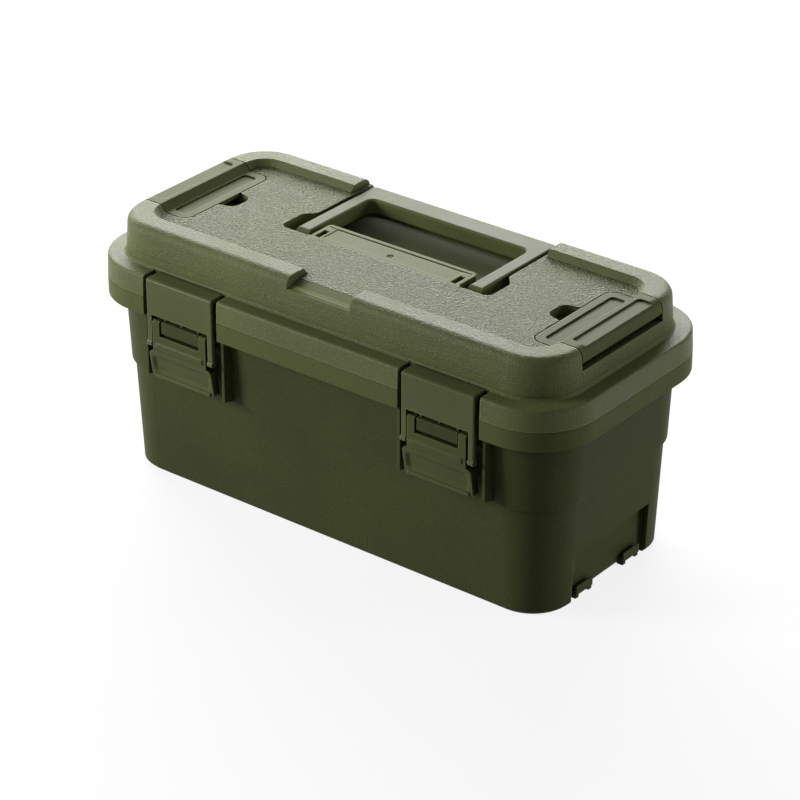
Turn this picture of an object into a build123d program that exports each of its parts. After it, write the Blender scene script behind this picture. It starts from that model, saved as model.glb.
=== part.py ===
from build123d import *
from math import radians, tan
import os

os.makedirs("parts", exist_ok=True)

# Whole box, in millimetres: the origin is the middle of the base, X runs along the box and
# the latches are on the -Y side. The band where lid and tub meet sets the size in plan.
band_length = 410.0
band_depth = 192.0
band_radius = 46.0
parting_height = 150.0
lid_height = 45.0
parting_gap = 0.3
overcut = 5.0
pin_clearance = 0.05
band_front = band_depth / 2
crest_height = parting_height + lid_height
tub_top = parting_height - parting_gap / 2
lid_base = parting_height + parting_gap / 2

# Tub: drafted walls with a step all round, and a hollow rim that makes the lower half of the band.
wall = 3.0
tub_floor = 3.2
foot_inset = 19.0
foot_radius = 31.0
foot_chamfer = 2.4
draft_angle = 2.6
step_drop = 66.5
step_width = 2.3
rim_drop = 14.0
rim_skin = 3.0
rim_roof = 3.6
rim_lip_height = 3.0
rim_lip_width = 2.0
rim_lip_clearance = 1.0
foot_length = band_length - 2 * foot_inset
foot_depth = band_depth - 2 * foot_inset
step_height = parting_height - step_drop
rim_base = parting_height - rim_drop
draft = tan(radians(draft_angle))

# Lid: skirt, ledge, raised plateau with a rim round a sunken floor.
skirt_height = 16.0
skirt_draft = 2.5
skirt_fillet = 2.2
ledge_width = 13.0
ledge_roof = 3.0
plateau_radius = 35.0
plateau_draft = 3.5
plateau_foot_chamfer = 1.5
crest_fillet = 6.5
top_roof = 3.0
floor_drop = 5.2
floor_end_margin = 24.0
floor_side_margin = 23.5
floor_radius = 13.0
floor_blend = 3.5
rim_slope = 40.0
ledge_height = parting_height + skirt_height
plateau_length = band_length - 2 * ledge_width
plateau_depth = band_depth - 2 * ledge_width
plateau_half_length = plateau_length / 2
plateau_half_depth = plateau_depth / 2
floor_level = crest_height - floor_drop
floor_length = plateau_length - 2 * floor_end_margin
floor_depth = plateau_depth - 2 * floor_side_margin

# Notch in the front rim with a chute down to the front wall.
notch_half = 27.0
chute_inset = 14.4
chute_run = 12.4
chute_drop = 3.5
chute_start = plateau_half_depth - chute_inset

# Stacking latch flaps at both ends of the lid.
flap_length = 43.0
flap_margin = 37.8
flap_gap = 1.0
flap_corner = 8.0
flap_thickness = 3.0
flap_slope_run = 5.0
flap_axis_inset = 6.5
flap_axis_drop = 9.5
flap_barrel = 4.0
flap_under = 8.0
flap_pin_radius = 1.5
flap_pin_seat = 3.0
flap_pocket_drop = 15.6
flap_pocket_wall = 4.0
flap_panel_depth = 1.2
flap_panel_corner = 3.5
flap_panel_border = 6.4
flap_panel_start = 6.0
flap_panel_foot = 1.0
flap_crest_panel_start = 3.5
finger_reach = 13.2
finger_tip_half = 9.0
finger_half = 12.7
finger_corner = 7.0
finger_drop = 8.4
finger_under = 8.0
flap_inner = plateau_half_length - flap_length
flap_half = plateau_half_depth - flap_margin
flap_slope_start = floor_length / 2
flap_slope_end = flap_slope_start + flap_slope_run
flap_axis_x = plateau_half_length - flap_axis_inset
flap_axis_z = crest_height - flap_axis_drop
flap_pocket_floor = crest_height - flap_pocket_drop
flap_panel_half = flap_half - flap_panel_border
flap_panel_near = flap_inner + flap_panel_start
flap_panel_far = flap_slope_start - flap_panel_foot
flap_crest_panel_near = flap_slope_end + flap_crest_panel_start
finger_tip = flap_inner - finger_reach
finger_floor = floor_level - finger_drop

# End recess at the foot of each short wall, with two catches for a stacked box's latch.
recess_depth = 4.5
recess_flap_lap = 1.2
recess_height = 34.5
recess_roof_rise = 5.0
recess_roof_run = 6.2
recess_reach = 10.0
recess_foot = 6.0
catch_inset = 16.3
catch_width = 18.5
catch_foot = 2.5
catch_shelf = 6.5
catch_top = 10.4
catch_reach = 4.2
catch_lip = 1.4
catch_gusset = 3.6
catch_gusset_foot = 1.0
catch_gusset_reach = 3.4
recess_face = foot_length / 2 - recess_depth
recess_half = flap_half - recess_flap_lap
catch_offset = recess_half - catch_inset

# Latch lever, hinged on a boss of the tub: a slot above the roll, a leaning grip below it.
latch_inset = 92.7
lever_axis_inset = 4.5
lever_axis_drop = 19.2
boss_proud = 0.9
boss_height = 9.6
boss_corner = 1.2
boss_half = 16.9
boss_rib_pitch = 15.2
boss_rib_width = 2.0
boss_rib_setback = 2.4
boss_rib_clearance = 0.6
ear_gap = 1.2
ear_width = 6.1
ear_radius = 5.4
ear_rise = 5.0
ear_bevel = 1.3
lever_proud = 1.8
lever_thickness = 3.8
slot_drop = 6.6
roll_radius = 3.4
roll_inset = 1.4
roll_rounding = 2.4
roll_eye_radius = 2.5
grip_side = 4.1
grip_drop = 19.3
grip_height = 21.7
grip_proud = 2.0
grip_tuck = 3.6
grip_depth = 6.5
grip_skin = 3.0
grip_corner = 3.5
grip_foot_corner = 2.0
scoop_depth = 1.5
scoop_taper = 62.0
scoop_corner = 4.5
scoop_border = 1.8
scoop_top_border = 3.1
scoop_foot_border = 3.4
bead_radius = 1.6
bead_inset = 2.4
bead_rounding = 1.0
lever_pin_radius = 1.5
latch_offset = band_length / 2 - latch_inset
latch_centres = (-latch_offset, latch_offset)
lever_axis_y = -band_front + lever_axis_inset
lever_axis_z = parting_height - lever_axis_drop
boss_front = band_front + boss_proud
ear_inner = boss_half + ear_gap
ear_top = lever_axis_z + ear_rise
lever_half = ear_inner + ear_width
lever_front = band_front + lever_proud
lever_back = lever_front - lever_thickness
slot_floor = lever_axis_z - slot_drop
grip_half = lever_half + grip_side
grip_top = lever_axis_z - grip_drop
grip_bottom = grip_top - grip_height
grip_front_top = band_front + grip_proud
grip_front_bottom = grip_front_top - grip_tuck
scoop_top = grip_top - scoop_top_border
scoop_bottom = grip_bottom + scoop_foot_border
bead_half = grip_half - bead_inset
roll_half = lever_half - roll_inset

# Latch strap, hinged on the lever's roll: its top wraps over the lid's ledge.
strap_axis_inset = 0.4
strap_axis_drop = 14.2
strap_side = 5.8
strap_proud = 1.0
strap_thickness = 3.2
strap_window_drop = 11.0
strap_wrap = 12.4
strap_hook_drop = 2.0
strap_hook_width = 2.0
strap_top_fillet = 2.2
strap_edge = 1.2
leg_gap = 1.5
leg_eye_radius = 2.45
leg_lap = 2.0
strap_pin_radius = 1.5
strap_axis_y = -band_front + strap_axis_inset
strap_axis_z = lever_axis_z - strap_axis_drop
strap_half = lever_half + strap_side
strap_front = band_front + strap_proud
strap_window_top = parting_height - strap_window_drop

# Latch bays: two gaps in the band with guard ribs below.
bay_gap = 3.6
bay_back_clearance = 0.3
guard_gap = 0.5
guard_rib = 2.2
guard_inset = 3.5
guard_drop = 4.8
guard_slope = 3.0
bay_half = strap_half + bay_gap
guard_reach = band_front - guard_inset
guard_foot = grip_bottom - guard_drop

# Handle, its pocket and its pins.
handle_half = 80.4
handle_arm = 11.0
handle_depth = 90.0
handle_rear_margin = 2.0
grip_width = 18.2
handle_thickness = 12.0
handle_corner = 6.0
handle_outer_corner = 3.0
handle_edge = 1.6
handle_bevel = 4.0
handle_axis_inset = 7.0
handle_axis_drop = 6.8
pocket_depth = 19.8
pocket_arm_gap = 3.0
pocket_side_gap = 10.6
pocket_front_gap = 3.5
pocket_flare_offset = 21.0
pocket_flare_run = 8.0
pocket_rear_lap = 0.8
pocket_corner = 5.5
pocket_sill_clearance = 1.0
rim_gap_margin = 2.4
panel_side_gap = 5.2
panel_depth = 23.5
panel_corner = 3.0
handle_pin_radius = 2.5
handle_pin_cover = 3.0
handle_pin_seat = 2.8
handle_pin_stop = 0.8
slot_width = 4.6
slot_length = 12.0
slot_depth = 8.0
slot_wall = 1.6
plate_front_border = 3.7
plate_side_border = 9.2
plate_depth = 0.4
plate_length = 15.4
plate_groove_border = 2.2
plate_groove = 1.3
gate_radius = 2.5
gate_nub_radius = 0.8
gate_offset = 5.2
gate_depth = 0.6
handle_inner_half = handle_half - handle_arm
handle_rear = plateau_half_depth - handle_rear_margin
handle_front = handle_rear - handle_depth
grip_front_y = handle_rear - grip_width
handle_axis_y = handle_front + handle_axis_inset
handle_axis_z = floor_level - handle_axis_drop
pocket_floor = floor_level - pocket_depth
pocket_half = handle_half + pocket_arm_gap
pocket_side = handle_half + pocket_side_gap
pocket_front = handle_front - pocket_front_gap
pocket_flare_start = handle_front + pocket_flare_offset
pocket_flare_end = pocket_flare_start + pocket_flare_run
pocket_rear = handle_rear - pocket_rear_lap
rim_gap_half = pocket_half + rim_gap_margin
panel_half = handle_inner_half - panel_side_gap
panel_rear = pocket_front + panel_depth
plate_half = panel_half - plate_side_border
plate_front = pocket_front + plate_front_border
plate_groove_y = plate_front + plate_length
plate_groove_half = panel_half - plate_groove_border
gate_y = plate_front + gate_offset
handle_pin_depth = handle_pin_seat - handle_pin_stop
handle_pin_end = handle_half - handle_pin_cover

# Rear hinges: the tub carries two knuckles of each hinge, the lid the one between.
hinge_inset = 100.0
hinge_reach = 5.0
knuckle_radius = 4.2
knuckle_lid_width = 30.0
knuckle_tub_width = 14.0
knuckle_gap = 0.6
knuckle_root = 12.0
knuckle_sink = 1.4
knuckle_parting = 0.4
knuckle_rear = 3.4
knuckle_rise = 2.0
hinge_pin_radius = 2.0
hinge_offset = band_length / 2 - hinge_inset
hinge_centres = (-hinge_offset, hinge_offset)
hinge_axis_y = band_front + hinge_reach

# Lift-out tray, standing on the ledge inside the tub's step.
tray_seat_gap = 0.3
tray_clearance = 1.2
tray_rim_drop = 32.0
tray_wall = 2.2
tray_floor = 2.4
divider_thickness = 2.2
divider_drop = 6.0
tray_grip_half = 62.0
tray_grip_rise = 32.0
tray_grip_slot_half = 45.0
tray_grip_slot_height = 22.0
tray_grip_slot_drop = 19.5
tray_grip_thickness = 7.0
tray_grip_corner = 9.0
tray_grip_slot_corner = 5.0
tray_base = step_height + wall + tray_seat_gap
tray_height = parting_height - tray_rim_drop - tray_base
divider_height = tray_height - divider_drop
tray_grip_top = tray_height + tray_grip_rise

sides = (-1, 1)


def tub_plan(height, inset=0.0):
    """Length, depth and corner radius of the tub's wall at a height, moved in by an inset."""
    growth = height * draft - inset
    if height >= step_height:
        growth += step_width
    return foot_length + 2 * growth, foot_depth + 2 * growth, foot_radius + growth


def wall_face(height):
    """Distance from the middle of the box to the outside of its long wall at a height."""
    return tub_plan(height)[1] / 2


def slab(x_span, y_span, z_span, mode=Mode.ADD):
    """Add or cut a block between two named limits on each axis."""
    with BuildSketch(Plane.XY.offset(z_span[0])) as plan:
        with Locations(((x_span[0] + x_span[1]) / 2, (y_span[0] + y_span[1]) / 2)):
            Rectangle(abs(x_span[1] - x_span[0]), y_span[1] - y_span[0])
    extrude(plan.sketch, amount=z_span[1] - z_span[0], mode=mode)


def prism(plane, points, amount, mode=Mode.ADD, both=False):
    """Add or cut a straight-sided profile drawn on a plane."""
    with BuildSketch(plane) as profile:
        with BuildLine():
            Polyline(*points, close=True)
        make_face()
    extrude(profile.sketch, amount=amount, mode=mode, both=both)


def rod(plane, place, radius, amount, mode=Mode.ADD, both=False):
    """Add or cut a round bar that stands on a plane."""
    with BuildSketch(plane) as circle:
        with Locations(place):
            Circle(radius)
    extrude(circle.sketch, amount=amount, mode=mode, both=both)


def roller(centre, place, radius, half, rounding):
    """Add a bar along X whose ends are rounded."""
    with BuildSketch(Plane.XY.offset(place[1])) as profile:
        with Locations((centre, place[0] + radius / 2)):
            Rectangle(2 * half, radius)
        fillet(profile.vertices().group_by(Axis.Y)[-1], rounding)
    revolve(profile.sketch, axis=Axis((centre, place[0], place[1]), (1, 0, 0)))


def side_span(side, near, far):
    """Limits along X on one side of the box, in rising order."""
    return tuple(sorted((side * near, side * far)))


def make_tub():
    """The tub with its rim, bays, guard ribs, latch bosses, end catches and hinge knuckles."""
    ledge_inside = step_height + wall
    with BuildPart() as tub:
        with BuildSketch():
            RectangleRounded(*tub_plan(0))
        extrude(amount=step_height, taper=-draft_angle)
        chamfer(tub.faces().sort_by(Axis.Z)[0].edges(), foot_chamfer)
        with BuildSketch(Plane.XY.offset(step_height)):
            RectangleRounded(*tub_plan(step_height))
        extrude(amount=tub_top - step_height, taper=-draft_angle)
        with BuildSketch(Plane.XY.offset(rim_base)):
            RectangleRounded(band_length, band_depth, band_radius)
        extrude(amount=tub_top - rim_base)

        # Inside: a lower room, and a wider one above the ledge that follows the step.
        with BuildSketch(Plane.XY.offset(tub_floor)):
            RectangleRounded(*tub_plan(tub_floor, wall))
        extrude(amount=ledge_inside - tub_floor, taper=-draft_angle, mode=Mode.SUBTRACT)
        with BuildSketch(Plane.XY.offset(ledge_inside)):
            RectangleRounded(*tub_plan(ledge_inside, wall))
        extrude(amount=tub_top + overcut - ledge_inside, taper=-draft_angle, mode=Mode.SUBTRACT)

        # The rim is open below, like a gutter turned over.
        with BuildSketch(Plane.XY.offset(rim_base)):
            RectangleRounded(
                band_length - 2 * rim_skin, band_depth - 2 * rim_skin, band_radius - rim_skin
            )
            RectangleRounded(*tub_plan(tub_top), mode=Mode.SUBTRACT)
        extrude(amount=tub_top - rim_roof - rim_base, mode=Mode.SUBTRACT)

        # A low lip on the rim locates the lid.
        with BuildSketch(Plane.XY.offset(tub_top)):
            lip_inset = rim_skin + rim_lip_clearance
            RectangleRounded(
                band_length - 2 * lip_inset, band_depth - 2 * lip_inset, band_radius - lip_inset
            )
            offset(amount=-rim_lip_width, mode=Mode.SUBTRACT)
        extrude(amount=rim_lip_height)

        # Ribs that close the gutter beside each bay and run down to guard the latch.
        rib_outer = band_front - rim_skin / 2
        rib_points = (
            (-wall_face(tub_top) + wall / 2, tub_top - rim_roof / 2),
            (-rib_outer, tub_top - rim_roof / 2),
            (-rib_outer, rim_base),
            (-guard_reach, rim_base),
            (-guard_reach, guard_foot + guard_slope),
            (-wall_face(guard_foot) + wall / 2, guard_foot),
        )
        for centre in latch_centres:
            for side in sides:
                rib_start = centre + side * (bay_half + guard_gap + guard_rib / 2) - guard_rib / 2
                prism(Plane.YZ.offset(rib_start), rib_points, guard_rib)
            bay = (centre - bay_half, centre + bay_half)
            bay_depth = (-band_front - overcut, -wall_face(tub_top) - bay_back_clearance)
            slab(bay, bay_depth, (rim_base - overcut, tub_top + rim_lip_height + overcut), Mode.SUBTRACT)
            lip_gap = bay_half + wall + rim_lip_clearance
            lip_bay = (centre - lip_gap, centre + lip_gap)
            slab(lip_bay, bay_depth, (tub_top, tub_top + rim_lip_height + overcut), Mode.SUBTRACT)

        # Latch bosses: a square-faced block with three ribs above it.
        for centre in latch_centres:
            boss_back = wall_face(lever_axis_z) - wall / 2
            with BuildSketch(Plane.YZ.offset(centre - boss_half)):
                with Locations((-(boss_front + boss_back) / 2, lever_axis_z)):
                    RectangleRounded(boss_front - boss_back, boss_height, boss_corner)
            extrude(amount=2 * boss_half)
            for step in (-1, 0, 1):
                middle = centre + step * boss_rib_pitch
                slab(
                    (middle - boss_rib_width / 2, middle + boss_rib_width / 2),
                    (-boss_front + boss_rib_setback, -wall_face(tub_top) + wall / 2),
                    (lever_axis_z, strap_window_top - boss_rib_clearance),
                )
            hole = Plane.YZ.offset(centre - boss_half)
            rod(
                hole,
                (lever_axis_y, lever_axis_z),
                lever_pin_radius + pin_clearance,
                2 * boss_half,
                Mode.SUBTRACT,
            )

        # End recesses, backed by a pad inside, and their catches.
        for side in sides:
            pad = side_span(side, recess_face - wall, recess_face + wall / 2)
            pad_half = recess_half + wall
            slab(pad, (-pad_half, pad_half), (tub_floor / 2, recess_height + wall))
            roof_rise = recess_reach * recess_roof_rise / recess_roof_run
            foot_x = side * (recess_face - recess_foot)
            outside = side * (recess_face + recess_reach)
            with BuildSketch(Plane.XZ) as recess:
                with BuildLine():
                    Polyline(
                        (foot_x, 0),
                        (foot_x, -overcut),
                        (outside, -overcut),
                        (outside, recess_height + roof_rise),
                        (side * recess_face, recess_height),
                        (side * recess_face, recess_foot),
                    )
                    RadiusArc((side * recess_face, recess_foot), (foot_x, 0), side * recess_foot)
                make_face()
            extrude(recess.sketch, amount=recess_half, both=True, mode=Mode.SUBTRACT)
            face = side * recess_face
            back = side * (recess_face - wall / 2)
            tip = side * (recess_face + catch_reach)
            lip = side * (recess_face + catch_reach - catch_lip)
            catch_points = (
                (back, catch_foot),
                (face, catch_foot),
                (tip, catch_foot + catch_lip),
                (tip, catch_top),
                (lip, catch_top),
                (lip, catch_shelf),
                (back, catch_shelf),
            )
            for row in sides:
                start = row * catch_offset - catch_width / 2
                prism(Plane.XZ.offset(-start), catch_points, -catch_width)
                for end in (start, start + catch_width - catch_gusset):
                    gusset = side_span(side, recess_face - wall / 2, recess_face + catch_gusset_reach)
                    gusset_rise = (catch_gusset_foot, catch_shelf)
                    slab(gusset, (end, end + catch_gusset), gusset_rise)

        # Outer knuckles of the rear hinges.
        knuckle_points = (
            (band_front - knuckle_sink, parting_height - knuckle_root),
            (band_front - knuckle_sink, parting_height - knuckle_parting),
            (hinge_axis_y, parting_height - knuckle_parting),
            (hinge_axis_y + knuckle_rear, parting_height - knuckle_rise),
        )
        for centre in hinge_centres:
            for side in sides:
                inner = knuckle_lid_width / 2 + knuckle_gap
                start = centre + side * (inner + knuckle_tub_width / 2) - knuckle_tub_width / 2
                prism(Plane.YZ.offset(start), knuckle_points, knuckle_tub_width)
                axis = (hinge_axis_y, parting_height)
                rod(Plane.YZ.offset(start), axis, knuckle_radius, knuckle_tub_width)
                bore = hinge_pin_radius + pin_clearance
                rod(Plane.YZ.offset(start), axis, bore, knuckle_tub_width, Mode.SUBTRACT)
    return tub.part


def pocket_outline(inset=0.0):
    """Plan of the handle pocket: two arm channels and the well between them, open to the rear."""
    right = (
        (pocket_half, pocket_rear),
        (pocket_half, pocket_flare_end),
        (pocket_side, pocket_flare_start),
        (pocket_side, pocket_front),
        (panel_half, pocket_front),
        (panel_half, panel_rear),
    )
    left = tuple((-x, y) for x, y in reversed(right))
    with BuildSketch(Plane.XY.offset(pocket_floor)) as plan:
        with BuildLine():
            Polyline(*right, *left, close=True)
        make_face()
        if inset:
            offset(amount=inset, kind=Kind.INTERSECTION)
        else:
            outer = plan.vertices().filter_by(lambda corner: abs(corner.X) > handle_half)
            fillet(outer, pocket_corner)
            inner = plan.vertices().filter_by(lambda corner: abs(corner.X) < handle_inner_half)
            fillet(inner, panel_corner)
    return plan.sketch


def make_lid():
    """The lid shell with its plateau, handle pocket, flap pockets, latch bays and hinge knuckles."""
    plateau_top = crest_height - ledge_height
    under_floor = floor_level - top_roof
    with BuildPart() as lid:
        with BuildSketch(Plane.XY.offset(lid_base)):
            RectangleRounded(band_length, band_depth, band_radius)
        extrude(amount=ledge_height - lid_base, taper=skirt_draft)
        fillet(lid.faces().sort_by(Axis.Z)[-1].edges(), skirt_fillet)
        with BuildSketch(Plane.XY.offset(ledge_height)):
            RectangleRounded(plateau_length, plateau_depth, plateau_radius)
        extrude(amount=plateau_top, taper=plateau_draft)
        fillet(lid.faces().sort_by(Axis.Z)[-1].edges(), crest_fillet)
        ledge = lid.faces().filter_by(Plane.XY).group_by(Axis.Z)[-2].sort_by(SortBy.AREA)[-1]
        chamfer(ledge.inner_wires()[0].edges(), plateau_foot_chamfer)
        with BuildSketch(Plane.XY.offset(floor_level)):
            RectangleRounded(floor_length, floor_depth, floor_radius)
        extrude(amount=crest_height - floor_level + overcut, taper=-rim_slope, mode=Mode.SUBTRACT)
        sunken = lid.faces().filter_by(Plane.XY).sort_by(Axis.Z)
        floor_face = sunken.filter_by_position(Axis.Z, ledge_height, crest_height, (False, False))[0]
        fillet(floor_face.outer_wire().edges(), floor_blend)

        # Hollow from below: a wide room in the skirt and a narrower one in the plateau.
        with BuildSketch(Plane.XY.offset(lid_base - overcut)):
            RectangleRounded(
                band_length - 2 * rim_skin, band_depth - 2 * rim_skin, band_radius - rim_skin
            )
        skirt_room = ledge_height - ledge_roof
        extrude(amount=skirt_room - lid_base + overcut, mode=Mode.SUBTRACT)
        with BuildSketch(Plane.XY.offset(skirt_room)):
            RectangleRounded(plateau_length - 2 * wall, plateau_depth - 2 * wall, plateau_radius - wall)
        extrude(amount=under_floor - skirt_room, taper=plateau_draft, mode=Mode.SUBTRACT)

        # Walls that carry the handle pocket, the flap pockets and the latch bays.
        well_base = pocket_floor - top_roof
        extrude(pocket_outline(wall), amount=floor_level - top_roof / 2 - pocket_floor)
        with BuildSketch(Plane.XY.offset(well_base)) as well_floor:
            add(pocket_outline(wall).moved(Location((0, 0, -pocket_floor))))
        extrude(well_floor.sketch, amount=top_roof)
        for side in sides:
            block = side_span(side, panel_half - handle_pin_seat - slot_width - slot_wall, panel_half)
            block_depth = (pocket_front, pocket_front + slot_length + 2 * slot_wall)
            slab(block, block_depth, (floor_level - slot_depth - slot_wall, under_floor + top_roof / 2))
            flap_box = side_span(side, flap_inner - wall, plateau_half_length - wall)
            flap_box_half = flap_half + flap_pocket_wall
            box_rise = (flap_pocket_floor - wall, under_floor + top_roof / 2)
            slab(flap_box, (-flap_box_half, flap_box_half), box_rise)
            notch_box = side_span(side, finger_tip - wall, flap_inner)
            notch_wide = finger_half + wall
            notch_rise = (finger_floor - wall, under_floor + top_roof / 2)
            slab(notch_box, (-notch_wide, notch_wide), notch_rise)
        bay_back = plateau_half_depth + bay_back_clearance
        for centre in latch_centres:
            cheek = bay_half + wall
            slab(
                (centre - cheek, centre + cheek),
                (-band_front + rim_skin / 2, -bay_back + wall),
                (lid_base, skirt_room + ledge_roof / 2),
            )
            slab(
                (centre - bay_half, centre + bay_half),
                (-band_front - overcut, -bay_back),
                (lid_base - overcut, ledge_height + overcut),
                Mode.SUBTRACT,
            )

        # Handle pocket, with a sill at the rear for the grip.
        extrude(pocket_outline(), amount=crest_height - pocket_floor, mode=Mode.SUBTRACT)
        sill = floor_level - handle_thickness - pocket_sill_clearance
        slab(
            (-pocket_half, pocket_half),
            (grip_front_y, plateau_half_depth + overcut),
            (sill, crest_height + overcut),
            Mode.SUBTRACT,
        )
        slab(
            (-rim_gap_half, rim_gap_half),
            (floor_depth / 2 - overcut, plateau_half_depth + overcut),
            (floor_level, crest_height + overcut),
            Mode.SUBTRACT,
        )
        for side in sides:
            slot_far = panel_half - handle_pin_seat
            slot_x = side_span(side, slot_far - slot_width, slot_far)
            slot_y = (pocket_front + slot_wall, pocket_front + slot_wall + slot_length)
            slab(slot_x, slot_y, (floor_level - slot_depth, floor_level + overcut), Mode.SUBTRACT)
            rod(
                Plane.YZ.offset(side * panel_half),
                (handle_axis_y, handle_axis_z),
                handle_pin_radius + pin_clearance,
                -side * handle_pin_depth,
                Mode.SUBTRACT,
            )

        # Bare label panel, the groove behind it and the mark of the moulding gate.
        slab(
            (-plate_half, plate_half),
            (plate_front, plate_groove_y),
            (floor_level - plate_depth, floor_level + overcut),
            Mode.SUBTRACT,
        )
        slab(
            (-plate_groove_half, plate_groove_half),
            (plate_groove_y, plate_groove_y + plate_groove),
            (floor_level - plate_groove, floor_level + overcut),
            Mode.SUBTRACT,
        )
        gate = Plane.XY.offset(floor_level - plate_depth)
        rod(gate, (0, gate_y), gate_radius, -gate_depth, Mode.SUBTRACT)
        rod(gate, (0, gate_y), gate_nub_radius, -gate_depth)

        # Front notch: the floor runs out over a chute to the front wall.
        chute_fall = (plateau_half_depth + overcut - chute_start) * chute_drop / chute_run
        notch_points = (
            (-floor_depth / 2 + overcut, floor_level),
            (-chute_start, floor_level),
            (-plateau_half_depth - overcut, floor_level - chute_fall),
            (-plateau_half_depth - overcut, crest_height + overcut),
            (-floor_depth / 2 + overcut, crest_height + overcut),
        )
        prism(Plane.YZ, notch_points, notch_half, Mode.SUBTRACT, both=True)

        # Flap pockets, each with a finger notch at its inner edge and bores for its pin.
        for side in sides:
            pocket_start = flap_inner - flap_gap
            pocket_end = plateau_half_length + overcut
            pocket_wide = flap_half + flap_gap
            with BuildSketch(Plane.XY.offset(floor_level - flap_thickness - flap_gap)) as flap_plan:
                with Locations((side * (pocket_start + pocket_end) / 2, 0)):
                    Rectangle(pocket_end - pocket_start, 2 * pocket_wide)
                inner_corners = flap_plan.vertices().sort_by(Axis.X)
                fillet(inner_corners[:2] if side > 0 else inner_corners[2:], flap_corner + flap_gap)
            extrude(flap_plan.sketch, amount=crest_height - floor_level + overcut, mode=Mode.SUBTRACT)
            deep = side_span(side, flap_slope_start, pocket_end)
            slab(deep, (-pocket_wide, pocket_wide), (flap_pocket_floor, crest_height), Mode.SUBTRACT)
            tip_x = side * finger_tip
            mouth_x = side * flap_inner
            end_x = side * (flap_inner + finger_under)
            with BuildSketch(Plane.XY.offset(finger_floor)) as finger:
                with BuildLine():
                    Polyline(
                        (tip_x, -finger_tip_half),
                        (mouth_x, -finger_half),
                        (end_x, -finger_half),
                        (end_x, finger_half),
                        (mouth_x, finger_half),
                        (tip_x, finger_tip_half),
                        close=True,
                    )
                make_face()
                tips = finger.vertices().sort_by_distance(Vector(tip_x, 0, 0))[:2]
                fillet(tips, finger_corner)
            extrude(finger.sketch, amount=crest_height - finger_floor, mode=Mode.SUBTRACT)
            rod(
                Plane.XZ,
                (side * flap_axis_x, flap_axis_z),
                flap_pin_radius + pin_clearance,
                flap_half + flap_gap + flap_pin_seat,
                Mode.SUBTRACT,
                both=True,
            )

        # Middle knuckle of each rear hinge.
        knuckle_points = (
            (band_front - knuckle_sink, parting_height + knuckle_root),
            (band_front - knuckle_sink, parting_height + knuckle_parting),
            (hinge_axis_y, parting_height + knuckle_parting),
            (hinge_axis_y + knuckle_rear, parting_height + knuckle_rise),
        )
        for centre in hinge_centres:
            plane = Plane.YZ.offset(centre - knuckle_lid_width / 2)
            axis = (hinge_axis_y, parting_height)
            prism(plane, knuckle_points, knuckle_lid_width)
            rod(plane, axis, knuckle_radius, knuckle_lid_width)
            rod(plane, axis, hinge_pin_radius + pin_clearance, knuckle_lid_width, Mode.SUBTRACT)
    return lid.part


def make_handle():
    """The U-shaped carrying handle, lying flat in its pocket."""
    base = floor_level - handle_thickness
    depth = handle_rear - handle_front
    with BuildPart() as handle:
        with BuildSketch(Plane.XY.offset(base)) as outer:
            with Locations((0, handle_front + depth / 2)):
                Rectangle(2 * handle_half, depth)
            fillet(outer.vertices().group_by(Axis.Y)[-1], handle_outer_corner)
        extrude(amount=handle_thickness)
        with BuildSketch(Plane.XY.offset(base)) as inner:
            inner_depth = grip_front_y - handle_front + overcut
            with Locations((0, grip_front_y - inner_depth / 2)):
                Rectangle(2 * handle_inner_half, inner_depth)
            fillet(inner.vertices().group_by(Axis.Y)[-1], handle_corner)
        extrude(amount=handle_thickness, mode=Mode.SUBTRACT)
        front_tops = handle.edges().filter_by(Axis.X).group_by(Axis.Y)[0].group_by(Axis.Z)[-1]
        chamfer(front_tops, handle_bevel)
        grip_edges = handle.edges().filter_by(Axis.X).filter_by_position(
            Axis.Y, grip_front_y - handle_edge, handle_rear + handle_edge
        )
        fillet(grip_edges.group_by(Axis.Z)[-1], handle_edge)
        chamfer(grip_edges.group_by(Axis.Z)[0], handle_edge)
        rod(
            Plane.YZ,
            (handle_axis_y, handle_axis_z),
            handle_pin_radius + pin_clearance,
            handle_pin_end,
            Mode.SUBTRACT,
            both=True,
        )
    return handle.part


def make_handle_pin(side):
    """Plain pivot pin, blind in one handle arm and in the lid's bearing web."""
    seat = panel_half - handle_pin_depth + pin_clearance
    with BuildPart() as pin:
        start = Plane.YZ.offset(side * seat)
        shank = handle_pin_end - pin_clearance - seat
        rod(start, (handle_axis_y, handle_axis_z), handle_pin_radius, side * shank)
    return pin.part


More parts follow.
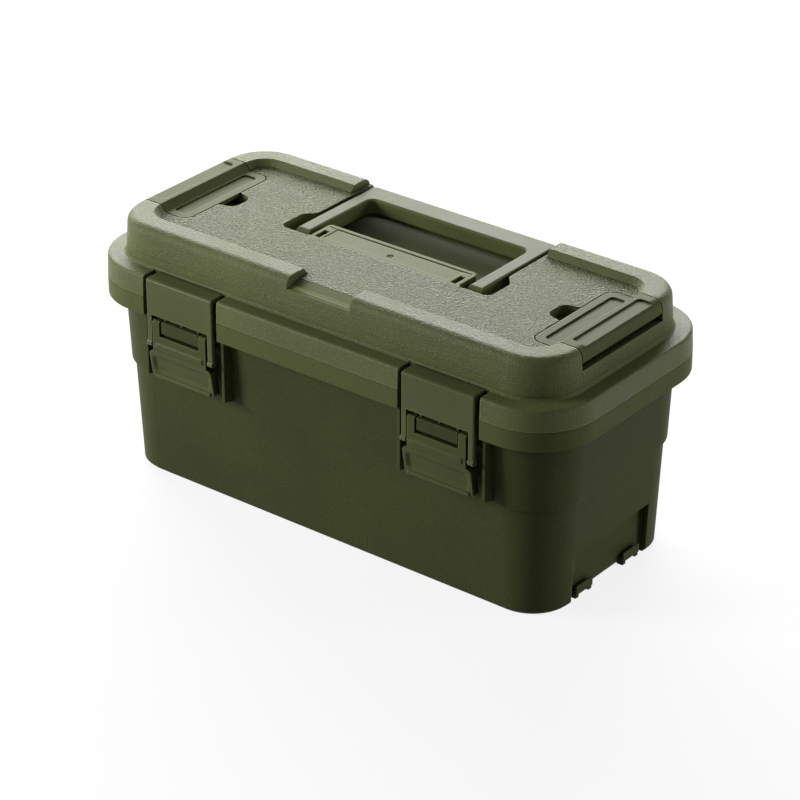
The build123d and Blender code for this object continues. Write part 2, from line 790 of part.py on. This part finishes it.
def make_lever(centre):
    """Latch lever: two ears round the tub's boss, a roll for the strap's pin and a leaning grip."""
    lean = (grip_front_top - grip_front_bottom) / (grip_top - grip_bottom)

    def front_at(height):
        return -grip_front_bottom - (height - grip_bottom) * lean

    with BuildPart() as lever:
        # Grip: a leaning block, hollowed from behind so that only its front and sides are left.
        grip_points = (
            (front_at(grip_top), grip_top),
            (front_at(grip_bottom), grip_bottom),
            (front_at(grip_bottom) + grip_depth, grip_bottom),
            (front_at(grip_top) + grip_depth, grip_top),
        )
        prism(Plane.YZ.offset(centre - grip_half), grip_points, 2 * grip_half)
        ends = lever.edges().group_by(Axis.X)
        end_edges = ShapeList(ends[0] + ends[-1])
        fillet(end_edges.group_by(Axis.Z)[-1], grip_corner)
        ends = lever.edges().group_by(Axis.X)
        end_edges = ShapeList(ends[0] + ends[-1])
        fillet(end_edges.group_by(Axis.Z)[0], grip_foot_corner)
        hollow_half = grip_half - grip_skin
        hollow_top = grip_top - grip_skin
        hollow_points = (
            (front_at(hollow_top) + grip_skin, hollow_top),
            (front_at(grip_bottom - overcut) + grip_skin, grip_bottom - overcut),
            (front_at(grip_bottom) + grip_depth + overcut, grip_bottom - overcut),
            (front_at(grip_bottom) + grip_depth + overcut, hollow_top),
        )
        hollow_plane = Plane.YZ.offset(centre - hollow_half)
        prism(hollow_plane, hollow_points, 2 * hollow_half, Mode.SUBTRACT)

        # A dished front with sloping sides, and a bead along the foot.
        scoop_middle = (scoop_top + scoop_bottom) / 2
        scoop_plane = Plane(
            (centre, front_at(scoop_middle), scoop_middle), x_dir=(1, 0, 0), z_dir=(0, 1, lean)
        )
        with BuildSketch(scoop_plane) as scoop:
            RectangleRounded(2 * (grip_half - scoop_border), scoop_top - scoop_bottom, scoop_corner)
        extrude(scoop.sketch, amount=scoop_depth, taper=scoop_taper, mode=Mode.SUBTRACT)
        bead_height = grip_bottom + bead_radius
        bead_place = (front_at(bead_height), bead_height)
        roller(centre, bead_place, bead_radius, bead_half, bead_rounding)

        # Ears, the plate between them and the roll.
        for side in sides:
            start = centre + side * (ear_inner + ear_width / 2) - ear_width / 2
            plane = Plane.YZ.offset(start)
            rod(plane, (lever_axis_y, lever_axis_z), ear_radius, ear_width)
            ear_points = (
                (lever_axis_y, slot_floor),
                (-lever_front, slot_floor),
                (-lever_front, ear_top - ear_bevel),
                (-lever_front + ear_bevel, ear_top),
                (lever_axis_y, ear_top),
            )
            prism(plane, ear_points, ear_width)
        plate_points = (
            (-lever_front, slot_floor),
            (-lever_back, slot_floor),
            (-lever_back, grip_top - grip_skin / 2),
            (-lever_front, grip_top - grip_skin / 2),
        )
        plane = Plane.YZ.offset(centre - lever_half)
        prism(plane, plate_points, 2 * lever_half)
        strap_place = (strap_axis_y, strap_axis_z)
        rod(plane, strap_place, roll_eye_radius, 2 * lever_half)
        roller(centre, strap_place, roll_radius, roll_half, roll_rounding)
        for place, radius in (
            ((lever_axis_y, lever_axis_z), lever_pin_radius),
            (strap_place, strap_pin_radius),
        ):
            rod(plane, place, radius + pin_clearance, 2 * lever_half, Mode.SUBTRACT)
    return lever.part


def make_strap(centre):
    """Latch strap: a plate with two legs to the lever and a hooked top over the lid's ledge."""
    back = strap_front - strap_thickness
    top = ledge_height
    tip = strap_front - strap_wrap
    with BuildPart() as strap:
        points = (
            (-strap_front, strap_window_top),
            (-strap_front, top),
            (-tip, top),
            (-tip, top - strap_thickness - strap_hook_drop),
            (-tip - strap_hook_width, top - strap_thickness - strap_hook_drop),
            (-tip - strap_hook_width, top - strap_thickness),
            (-back, top - strap_thickness),
            (-back, strap_window_top),
        )
        prism(Plane.YZ.offset(centre - strap_half), points, 2 * strap_half)
        corner = strap.edges().filter_by(Axis.X).group_by(Axis.Z)[-1].sort_by(Axis.Y)[0]
        fillet(corner, strap_top_fillet)
        leg_width = strap_half - lever_half - leg_gap
        leg_points = (
            (-strap_front, strap_axis_z),
            (-strap_front, strap_window_top + leg_lap),
            (-back, strap_window_top + leg_lap),
            (-back, strap_axis_z),
        )
        leg_planes = [
            Plane.YZ.offset(centre + side * (strap_half - leg_width / 2) - leg_width / 2)
            for side in sides
        ]
        for plane in leg_planes:
            prism(plane, leg_points, leg_width)
        uprights = strap.edges().filter_by(Axis.Z).group_by(Axis.Y)[0].sort_by(Axis.X)
        fillet((uprights[0], uprights[-1]), strap_edge)
        axis = (strap_axis_y, strap_axis_z)
        for plane in leg_planes:
            rod(plane, axis, leg_eye_radius, leg_width)
            rod(plane, axis, strap_pin_radius + pin_clearance, leg_width, Mode.SUBTRACT)
    return strap.part


def make_cross_pin(centre, place, radius, half):
    """Plain pin along X, between the outer faces of what it joins."""
    with BuildPart() as pin:
        rod(Plane.YZ.offset(centre - half), place, radius, 2 * half)
    return pin.part


def make_flap():
    """Right-hand stacking latch: a cranked plate that lies in the floor and over the end rim."""
    tilt = tan(radians(plateau_draft))
    crest_x = plateau_half_length - (crest_height - ledge_height) * tilt
    foot_x = plateau_half_length - (flap_axis_z - ledge_height) * tilt
    under = floor_level - flap_thickness
    crest_under = crest_height - flap_under
    corner = (crest_x, crest_height)
    points = (
        (flap_inner, under),
        (flap_inner, floor_level),
        (flap_slope_start, floor_level),
        (flap_slope_end, crest_height),
        corner,
        (foot_x, flap_axis_z),
        (flap_axis_x, flap_axis_z - flap_barrel),
        (flap_axis_x - flap_barrel, flap_axis_z),
        (flap_axis_x - flap_barrel, crest_under),
        (flap_slope_end, under),
    )
    with BuildPart() as flap:
        with BuildSketch(Plane.XZ) as profile:
            with BuildLine():
                Polyline(*points, close=True)
            make_face()
            fillet(profile.vertices().sort_by_distance(Vector(*corner))[0], crest_fillet)
            with Locations((flap_axis_x, flap_axis_z)):
                Circle(flap_barrel)
        extrude(amount=flap_half, both=True)
        inner_edges = flap.edges().filter_by(Axis.Z).group_by(Axis.X)[0]
        fillet(inner_edges, flap_corner)

        # Shallow panels sunk into the flat part and into the crest.
        for level, near, far in (
            (floor_level, flap_panel_near, flap_panel_far),
            (crest_height, flap_crest_panel_near, crest_x + flap_panel_corner),
        ):
            with BuildSketch(Plane.XY.offset(level - flap_panel_depth)) as panel:
                with Locations(((near + far) / 2, 0)):
                    RectangleRounded(far - near, 2 * flap_panel_half, flap_panel_corner)
            extrude(panel.sketch, amount=flap_panel_depth + overcut, mode=Mode.SUBTRACT)
        axis = (flap_axis_x, flap_axis_z)
        bore = flap_pin_radius + pin_clearance
        rod(Plane.XZ, axis, bore, flap_half, Mode.SUBTRACT, both=True)
    return flap.part


def make_flap_pin():
    """Right-hand stacking latch's pin, held at both ends in the lid."""
    reach = flap_half + flap_gap + flap_pin_seat - pin_clearance
    with BuildPart() as pin:
        rod(Plane.XZ, (flap_axis_x, flap_axis_z), flap_pin_radius, reach, both=True)
    return pin.part


def make_tray():
    """Open lift-out tray with a divider that rises into a carrying grip."""
    inset = wall + tray_clearance
    with BuildPart() as tray:
        with BuildSketch(Plane.XY.offset(tray_base)):
            RectangleRounded(*tub_plan(tray_base, inset))
        extrude(amount=tray_height, taper=-draft_angle)
        with BuildSketch(Plane.XY.offset(tray_base + tray_floor)):
            RectangleRounded(*tub_plan(tray_base + tray_floor, inset + tray_wall))
        extrude(amount=tray_height, taper=-draft_angle, mode=Mode.SUBTRACT)
        half_length = tub_plan(tray_base, inset)[0] / 2 - tray_wall / 2
        slab(
            (-half_length, half_length),
            (-divider_thickness / 2, divider_thickness / 2),
            (tray_base + tray_floor / 2, tray_base + divider_height),
        )
        slot_middle = tray_base + tray_grip_top - tray_grip_slot_drop
        with BuildSketch(Plane.XZ) as grip:
            with Locations((0, tray_base + tray_grip_top / 2)):
                RectangleRounded(2 * tray_grip_half, tray_grip_top, tray_grip_corner)
        extrude(grip.sketch, amount=tray_grip_thickness / 2, both=True)
        with BuildSketch(Plane.XZ) as hole:
            with Locations((0, slot_middle)):
                RectangleRounded(2 * tray_grip_slot_half, tray_grip_slot_height, tray_grip_slot_corner)
        extrude(hole.sketch, amount=tray_grip_thickness, both=True, mode=Mode.SUBTRACT)
    return tray.part


def mirrored(part):
    """The same piece on the other side of the box's middle plane."""
    with BuildPart() as twin:
        mirror(part, about=Plane.YZ)
    return twin.part


pieces = {
    "base_tub": make_tub(),
    "lid": make_lid(),
    "handle": make_handle(),
    "lift_out_tray": make_tray(),
    "stack_latch_right": make_flap(),
    "stack_latch_pin_right": make_flap_pin(),
}
for name in ("stack_latch", "stack_latch_pin"):
    pieces[name + "_left"] = mirrored(pieces[name + "_right"])
hinge_pin_half = knuckle_lid_width / 2 + knuckle_gap + knuckle_tub_width
for word, side in (("left", -1), ("right", 1)):
    latch_x = side * latch_offset
    lever_place = (lever_axis_y, lever_axis_z)
    strap_place = (strap_axis_y, strap_axis_z)
    pieces["handle_pin_" + word] = make_handle_pin(side)
    pieces["latch_lever_" + word] = make_lever(latch_x)
    pieces["latch_strap_" + word] = make_strap(latch_x)
    pieces["lever_pin_" + word] = make_cross_pin(latch_x, lever_place, lever_pin_radius, lever_half)
    pieces["strap_pin_" + word] = make_cross_pin(latch_x, strap_place, strap_pin_radius, strap_half)
    pieces["hinge_pin_" + word] = make_cross_pin(
        side * hinge_offset, (hinge_axis_y, parting_height), hinge_pin_radius, hinge_pin_half
    )

for name, piece in pieces.items():
    piece.label = name
    export_step(piece, "parts/" + name + ".step")
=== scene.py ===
import math

import bpy
from mathutils import Matrix, Vector

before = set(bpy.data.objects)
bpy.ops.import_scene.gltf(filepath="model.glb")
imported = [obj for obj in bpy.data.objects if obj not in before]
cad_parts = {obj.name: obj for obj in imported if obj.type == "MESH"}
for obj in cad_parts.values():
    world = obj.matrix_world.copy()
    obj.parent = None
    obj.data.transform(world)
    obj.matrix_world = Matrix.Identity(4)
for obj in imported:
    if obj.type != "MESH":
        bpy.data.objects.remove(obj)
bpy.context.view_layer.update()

MM = 0.001

# Camera, fitted to the box's straight edges in the photograph.
AZIMUTH = math.radians(38.12)
ELEVATION = math.radians(28.15)
DISTANCE = 2234 * MM
TARGET = Vector((5.65, 0, 78.2)) * MM
LENS_MM = 143.5
SENSOR_MM = 36.0
NEAR, FAR = 0.05, 50.0

# Lamps: name, place and target in m, width and height in m, power in W.
LAMPS = (
    ("rear", (-1.15, 1.20, 0.88), (0, 0, 0.15), (2.2, 0.8), 62),
    ("left", (-1.0, -0.95, 0.6), (0, 0, 0.1), (0.5, 0.5), 13.5),
    ("right", (1.4, 0.95, 0.55), (0, 0, 0.1), (0.5, 0.5), 6.5),
)
SKY = 0.14

# Floor and backdrop: size in m, grey that throws light back, and the white that is seen.
STAGE_RADIUS = 9.0
STAGE_WALL = 2.6
STAGE_SIDES = 96
STAGE_GREY = 0.20
STAGE_WHITE = 0.84

# Linear colours of the olive plastic, of the shade painted into its gaps and corners, and of the steel.
OLIVE = (0.118, 0.138, 0.049)
PAINTED_SHADE = (0.016, 0.018, 0.009)
DARK_STEEL = (0.10, 0.10, 0.09)
PALE_STEEL = (0.20, 0.20, 0.19)

# Heights on the lid in mm: sunken floor, what lies below it, end of the chute, foot of the crest.
FLOOR = 189.8
SUNK = FLOOR - 0.8
CHUTE_END = FLOOR - 5.5
CREST = FLOOR - 15.0

# Zones of the lid in mm from its middle: the label panel's half width, front and rear, the half
# length and half depth of the plateau and their sum at its corners, and the chute's half width
# and start.
PANEL = (64.2, -12.5, 11.0)
PLATEAU = (186.0, 78.0)
CORNER = 243.0
CHUTE = (27.2, 68.6)

# Height in mm of the foot of the tub's rim.
RIM = 135.85

# Grains: pebbles per metre, and relief in mm.
COARSE_GRAIN, COARSE_RELIEF = 700.0, 2.1
MEDIUM_GRAIN, CREST_RELIEF, SKIRT_RELIEF, WALL_RELIEF, BARE_RELIEF = 800.0, 0.42, 0.22, 0.16, 0.03
FINE_GRAIN, FINE_RELIEF = 1500.0, 0.02
GRAIN_LOW, GRAIN_HIGH = 0.35, 0.95

# Looks of the plastics: share of the olive, roughness, specular level, shift of the tone by the
# grain, rounding of edges in mm, paleness and width in mm of edges painted pale as wear and as
# highlight, and reach in mm of the shade painted into gaps and corners.
# The tub's lower tone and the lid's higher one paint shade onto the walls and light onto the lid, on one
# and the same plastic.
MATT = {
    "tone": 0.62, "rough": 0.58, "gloss": 0.09, "speckle": 0.08,
    "edge": 0.7, "rub_and_highlight": 0.5, "rub_and_highlight_width": 0.8, "painted_shade_reach": 7.0,
}
PEBBLED = {
    "tone": 1.16, "rough": 0.50, "gloss": 0.27, "speckle": 0.28,
    "edge": 1.0, "rub_and_highlight": 0.7, "rub_and_highlight_width": 1.0, "painted_shade_reach": 7.0,
}
SATIN = {
    "tone": 0.98, "rough": 0.53, "gloss": 0.20, "speckle": 0.03,
    "edge": 0.6, "rub_and_highlight": 1.0, "rub_and_highlight_width": 0.8, "painted_shade_reach": 7.0,
}
INNER = {**MATT, "tone": 0.80}
SLEEK = {**SATIN, "tone": 1.04, "rough": 0.34, "gloss": 0.16, "painted_shade_reach": 9.0}
# The lever's lower tone and wider reach paint shade into its scoop.
SCOOPED = {**SLEEK, "tone": 0.82, "rough": 0.36, "gloss": 0.08, "painted_shade_reach": 16.0}
DULL = {**SATIN, "rough": 0.56, "gloss": 0.11}


def add_camera():
    back = Vector(
        (
            math.sin(AZIMUTH) * math.cos(ELEVATION),
            -math.cos(AZIMUTH) * math.cos(ELEVATION),
            math.sin(ELEVATION),
        )
    )
    right = Vector((math.cos(AZIMUTH), math.sin(AZIMUTH), 0))
    up = back.cross(right)
    place = TARGET + back * DISTANCE
    data = bpy.data.cameras.new("camera")
    data.lens = LENS_MM
    data.sensor_width = SENSOR_MM
    data.clip_start, data.clip_end = NEAR, FAR
    camera = bpy.data.objects.new("camera", data)
    axes = Matrix((right, up, back)).transposed().to_4x4()
    camera.matrix_world = Matrix.Translation(place) @ axes
    bpy.context.scene.collection.objects.link(camera)
    bpy.context.scene.camera = camera


class Nodes:
    """A small helper that empties the node tree of a material or world, adds nodes and links them."""

    def __init__(self, owner):
        owner.use_nodes = True
        self.tree = owner.node_tree
        self.tree.nodes.clear()

    def add(self, kind, **values):
        node = self.tree.nodes.new(kind)
        for key, value in values.items():
            setattr(node, key, value)
        return node

    def put(self, socket, value):
        if isinstance(value, bpy.types.NodeSocket):
            self.tree.links.new(value, socket)
        else:
            socket.default_value = value

    def math(self, operation, a, b):
        node = self.add("ShaderNodeMath", operation=operation)
        self.put(node.inputs[0], a)
        self.put(node.inputs[1], b)
        return node.outputs[0]

    def plus(self, a, b):
        return self.math("ADD", a, b)

    def times(self, first, *others):
        for other in others:
            first = self.math("MULTIPLY", first, other)
        return first

    def most(self, first, *others):
        for other in others:
            first = self.math("MAXIMUM", first, other)
        return first

    def ramp(self, value, low, high, out_low=0.0, out_high=1.0):
        node = self.add("ShaderNodeMapRange", interpolation_type="SMOOTHSTEP")
        for name, number in (
            ("Value", value),
            ("From Min", low),
            ("From Max", high),
            ("To Min", out_low),
            ("To Max", out_high),
        ):
            self.put(node.inputs[name], number)
        return node.outputs["Result"]

    def above(self, value, edge, soft):
        """A mask that is 1 where a length passes an edge given in mm."""
        return self.ramp(value, (edge - soft) * MM, (edge + soft) * MM)

    def below(self, value, edge, soft):
        """A mask that is 1 where a length stays under an edge given in mm."""
        return self.ramp(value, (edge - soft) * MM, (edge + soft) * MM, 1.0, 0.0)

    def inside(self, value, low, high, soft):
        return self.times(self.above(value, low, soft), self.below(value, high, soft))

    def mix(self, factor, a, b):
        node = self.add("ShaderNodeMix", data_type="RGBA")
        self.put(node.inputs["Factor"], factor)
        self.put(node.inputs["A"], a if isinstance(a, bpy.types.NodeSocket) else (*a, 1))
        self.put(node.inputs["B"], b if isinstance(b, bpy.types.NodeSocket) else (*b, 1))
        return node.outputs["Result"]

    def blend(self, factor, a, b):
        node = self.add("ShaderNodeMix", data_type="FLOAT")
        self.put(node.inputs["Factor"], factor)
        self.put(node.inputs["A"], a)
        self.put(node.inputs["B"], b)
        return node.outputs["Result"]

    def axes(self, place):
        node = self.add("ShaderNodeSeparateXYZ")
        self.put(node.inputs[0], place)
        return node.outputs["X"], node.outputs["Y"], node.outputs["Z"]

    def noise(self, place, scale, detail, rough):
        node = self.add("ShaderNodeTexNoise")
        self.put(node.inputs["Vector"], place)
        node.inputs["Scale"].default_value = scale
        node.inputs["Detail"].default_value = detail
        node.inputs["Roughness"].default_value = rough
        return node.outputs["Fac"]

    def pebbles(self, place, scale):
        node = self.add("ShaderNodeTexVoronoi", feature="SMOOTH_F1")
        self.put(node.inputs["Vector"], place)
        node.inputs["Scale"].default_value = scale
        node.inputs["Smoothness"].default_value = 0.6
        return node.outputs["Distance"]

    def grain(self, place, scale):
        """Height of a pebbled grain, between about 0 and 1."""
        pebble = self.pebbles(place, scale)
        finer = self.noise(place, scale * 2.3, 3.0, 0.6)
        return self.plus(self.times(pebble, 0.8), self.times(finer, 0.5))


def new_material(name):
    material = bpy.data.materials.new(name)
    nodes = Nodes(material)
    shader = nodes.add("ShaderNodeBsdfPrincipled")
    output = nodes.add("ShaderNodeOutputMaterial")
    nodes.put(output.inputs["Surface"], shader.outputs["BSDF"])
    place = nodes.add("ShaderNodeTexCoord").outputs["Object"]
    return material, nodes, shader, place


def worn_and_highlit_edges(nodes, look):
    """Paleness of edges, painted as wear and as highlight, 0 away from them."""
    rub_and_highlight = nodes.add("ShaderNodeAmbientOcclusion", inside=True, only_local=True, samples=6)
    rub_and_highlight.inputs["Distance"].default_value = look["rub_and_highlight_width"] * MM
    return nodes.ramp(rub_and_highlight.outputs["AO"], 0.55, 1.0, look["rub_and_highlight"], 0.0)


def painted_nook_shade(nodes, look):
    """Share of painted shade in gaps and corners, 0 in the open."""
    painted_shade_reach = nodes.add("ShaderNodeAmbientOcclusion", samples=8)
    painted_shade_reach.inputs["Distance"].default_value = look["painted_shade_reach"] * MM
    return nodes.ramp(painted_shade_reach.outputs["AO"], 0.25, 0.85, 0.75, 0.0)


def finish_plastic(nodes, shader, place, relief, shift, look, duller=None):
    """Colour, roughness and relief that all the olive plastics share."""
    cloud = nodes.noise(place, 9.0, 3.0, 0.55)
    drift = nodes.ramp(cloud, 0.3, 0.7, -0.12, 0.12)
    # Edges are painted paler, partly as wear and partly as highlight.
    lift = nodes.plus(nodes.plus(shift, drift), worn_and_highlit_edges(nodes, look))
    dark = tuple(channel * look["tone"] * 0.2 for channel in OLIVE)
    pale = tuple(channel * look["tone"] * 1.8 for channel in OLIVE)
    colour = nodes.mix(nodes.ramp(lift, -1.0, 1.0), dark, pale)
    # Painted shade: gaps and corners are darkened towards a near-black olive.
    nodes.put(shader.inputs["Base Color"], nodes.mix(painted_nook_shade(nodes, look), colour, PAINTED_SHADE))

    rough = nodes.ramp(cloud, 0.25, 0.75, look["rough"] - 0.04, look["rough"] + 0.05)
    if duller is not None:
        rough = nodes.plus(rough, duller)
    nodes.put(shader.inputs["Roughness"], rough)
    shader.inputs["Specular IOR Level"].default_value = look["gloss"]

    round_edge = nodes.add("ShaderNodeBevel", samples=6)
    round_edge.inputs["Radius"].default_value = look["edge"] * MM
    bump = nodes.add("ShaderNodeBump")
    bump.inputs["Strength"].default_value = 1.0
    bump.inputs["Distance"].default_value = MM
    nodes.put(bump.inputs["Height"], relief)
    nodes.put(bump.inputs["Normal"], round_edge.outputs["Normal"])
    nodes.put(shader.inputs["Normal"], bump.outputs["Normal"])


def plain_plastic(name, scale, relief, look):
    """Olive plastic with one even grain."""
    material, nodes, shader, place = new_material(name)
    grain = nodes.grain(place, scale)
    shift = nodes.ramp(grain, GRAIN_LOW, GRAIN_HIGH, -look["speckle"], look["speckle"])
    finish_plastic(nodes, shader, place, nodes.times(grain, relief), shift, look)
    return material


def tub_plastic(name, look):
    """The tub's plastic: matt walls, and a rim with the skirt's grain, painted paler for light."""
    rim_speckle, rim_painted_light = 2 * look["speckle"], 0.75
    material, nodes, shader, place = new_material(name)
    _, _, up = nodes.axes(place)
    rim = nodes.above(up, RIM, 0.25)
    grain = nodes.grain(place, MEDIUM_GRAIN)
    relief = nodes.times(grain, nodes.blend(rim, WALL_RELIEF, SKIRT_RELIEF))
    speckle = nodes.ramp(grain, GRAIN_LOW, GRAIN_HIGH, -1.0, 1.0)
    speckle = nodes.times(speckle, nodes.blend(rim, look["speckle"], rim_speckle))
    # Painted light: the rim is made paler than the walls for the light it catches.
    shift = nodes.plus(speckle, nodes.times(rim, rim_painted_light))
    finish_plastic(nodes, shader, place, relief, shift, look)
    return material


def lid_zones(nodes, place):
    """Masks of the lid's coarse floor, of its smooth pockets, panel and chute, and of its crest."""
    x, along, up = nodes.axes(place)
    across = nodes.math("ABSOLUTE", x, 0.0)
    out = nodes.math("ABSOLUTE", along, 0.0)
    panel = nodes.times(nodes.below(across, PANEL[0], 0.3), nodes.inside(along, PANEL[1], PANEL[2], 0.3))
    plateau = nodes.times(
        nodes.below(across, PLATEAU[0], 0.5),
        nodes.below(out, PLATEAU[1], 0.5),
        nodes.below(nodes.plus(across, out), CORNER, 0.5),
    )
    chute = nodes.times(
        nodes.below(across, CHUTE[0], 0.3),
        nodes.below(along, -CHUTE[1], 0.3),
        nodes.above(up, CHUTE_END, 0.5),
    )
    pockets = nodes.times(plateau, nodes.below(up, SUNK, 0.2))
    bare = nodes.most(panel, pockets, chute)
    level = nodes.inside(up, FLOOR - 0.7, FLOOR + 0.5, 0.2)
    coarse = nodes.times(level, plateau, nodes.math("SUBTRACT", 1.0, bare))
    return coarse, bare, nodes.above(up, CREST, 1.0)


def lid_plastic(name, look):
    """The lid's plastic: coarse pebbles on the floor, finer grain elsewhere, smooth pockets."""
    fine_speckle, bare_rough = 0.45 * look["speckle"], 0.14
    material, nodes, shader, place = new_material(name)
    coarse, bare, crest = lid_zones(nodes, place)
    large = nodes.grain(place, COARSE_GRAIN)
    medium = nodes.grain(place, MEDIUM_GRAIN)
    relief = nodes.times(medium, nodes.blend(crest, SKIRT_RELIEF, CREST_RELIEF))
    relief = nodes.blend(coarse, relief, nodes.times(large, COARSE_RELIEF))
    relief = nodes.blend(bare, relief, nodes.times(medium, BARE_RELIEF))
    speckle = nodes.ramp(nodes.blend(coarse, medium, large), GRAIN_LOW, GRAIN_HIGH, -1.0, 1.0)
    reach = nodes.blend(coarse, fine_speckle, look["speckle"])
    shift = nodes.times(speckle, reach, nodes.math("SUBTRACT", 1.0, bare))
    finish_plastic(nodes, shader, place, relief, shift, look, nodes.times(bare, bare_rough))
    return material


def steel(name):
    """Dark drawn steel with fine marks."""
    material, nodes, shader, place = new_material(name)
    marks = nodes.noise(place, 900.0, 3.0, 0.6)
    nodes.put(shader.inputs["Base Color"], nodes.mix(marks, DARK_STEEL, PALE_STEEL))
    nodes.put(shader.inputs["Roughness"], nodes.ramp(marks, 0.2, 0.8, 0.34, 0.5))
    shader.inputs["Metallic"].default_value = 1.0
    return material


def dress():
    """Give each solid the first material here whose words are in its name."""
    materials = (
        ("_pin_", steel("pin_steel")),
        ("base_tub", tub_plastic("tub_plastic", MATT)),
        ("lift_out_tray", plain_plastic("tray_plastic", MEDIUM_GRAIN, WALL_RELIEF, INNER)),
        ("lid", lid_plastic("lid_plastic", PEBBLED)),
        ("handle", plain_plastic("handle_plastic", FINE_GRAIN, FINE_RELIEF, SATIN)),
        ("latch_strap", plain_plastic("strap_plastic", FINE_GRAIN, FINE_RELIEF, SLEEK)),
        ("latch_lever", plain_plastic("lever_plastic", FINE_GRAIN, FINE_RELIEF, SCOOPED)),
        ("stack_latch", plain_plastic("flap_plastic", FINE_GRAIN, FINE_RELIEF, DULL)),
    )
    for name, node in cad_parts.items():
        material = next(material for words, material in materials if words in name)
        node.data.materials.clear()
        node.data.materials.append(material)


def add_lamps():
    for name, place, target, size, power in LAMPS:
        data = bpy.data.lights.new(name, "AREA")
        data.shape = "RECTANGLE"
        data.size, data.size_y = size
        data.energy = power
        lamp = bpy.data.objects.new(name, data)
        lamp.location = place
        lamp.rotation_mode = "QUATERNION"
        lamp.rotation_quaternion = (Vector(target) - Vector(place)).to_track_quat("-Z", "Y")
        bpy.context.scene.collection.objects.link(lamp)


def stage_material():
    """White for the camera and in reflections, a dull pale grey for the light it throws back."""
    material = bpy.data.materials.new("stage")
    nodes = Nodes(material)
    matt = nodes.add("ShaderNodeBsdfDiffuse")
    matt.inputs["Color"].default_value = (STAGE_GREY, STAGE_GREY, STAGE_GREY, 1)
    path = nodes.add("ShaderNodeLightPath").outputs
    seen = nodes.most(path["Is Camera Ray"], path["Is Glossy Ray"], path["Is Transmission Ray"])
    glow = nodes.add("ShaderNodeEmission")
    glow.inputs["Color"].default_value = (1, 1, 1, 1)
    nodes.put(glow.inputs["Strength"], nodes.times(seen, STAGE_WHITE))
    both = nodes.add("ShaderNodeAddShader")
    nodes.put(both.inputs[0], matt.outputs[0])
    nodes.put(both.inputs[1], glow.outputs[0])
    output = nodes.add("ShaderNodeOutputMaterial")
    nodes.put(output.inputs["Surface"], both.outputs[0])
    return material


def add_stage():
    """A round floor and, far out, a low wall round it as backdrop."""
    turns = [2 * math.pi * k / STAGE_SIDES for k in range(STAGE_SIDES)]
    foot = [(STAGE_RADIUS * math.cos(turn), STAGE_RADIUS * math.sin(turn), 0) for turn in turns]
    top = [(x, y, STAGE_WALL) for x, y, _ in foot]
    ring = [(k, (k + 1) % STAGE_SIDES) for k in range(STAGE_SIDES)]
    wall = [(k, after, after + STAGE_SIDES, k + STAGE_SIDES) for k, after in ring]
    material = stage_material()
    for name, points, faces in (
        ("floor", foot, [tuple(range(STAGE_SIDES))]),
        ("backdrop", foot + top, wall),
    ):
        mesh = bpy.data.meshes.new(name)
        mesh.from_pydata(points, [], faces)
        mesh.materials.append(material)
        piece = bpy.data.objects.new(name, mesh)
        bpy.context.scene.collection.objects.link(piece)


def set_world():
    world = bpy.data.worlds.new("studio")
    bpy.context.scene.world = world
    nodes = Nodes(world)
    sky = nodes.add("ShaderNodeBackground")
    sky.inputs["Color"].default_value = (1, 1, 1, 1)
    sky.inputs["Strength"].default_value = SKY
    output = nodes.add("ShaderNodeOutputWorld")
    nodes.put(output.inputs["Surface"], sky.outputs[0])


bpy.context.scene.view_settings.view_transform = "Standard"
add_camera()
set_world()
add_stage()
add_lamps()
dress()
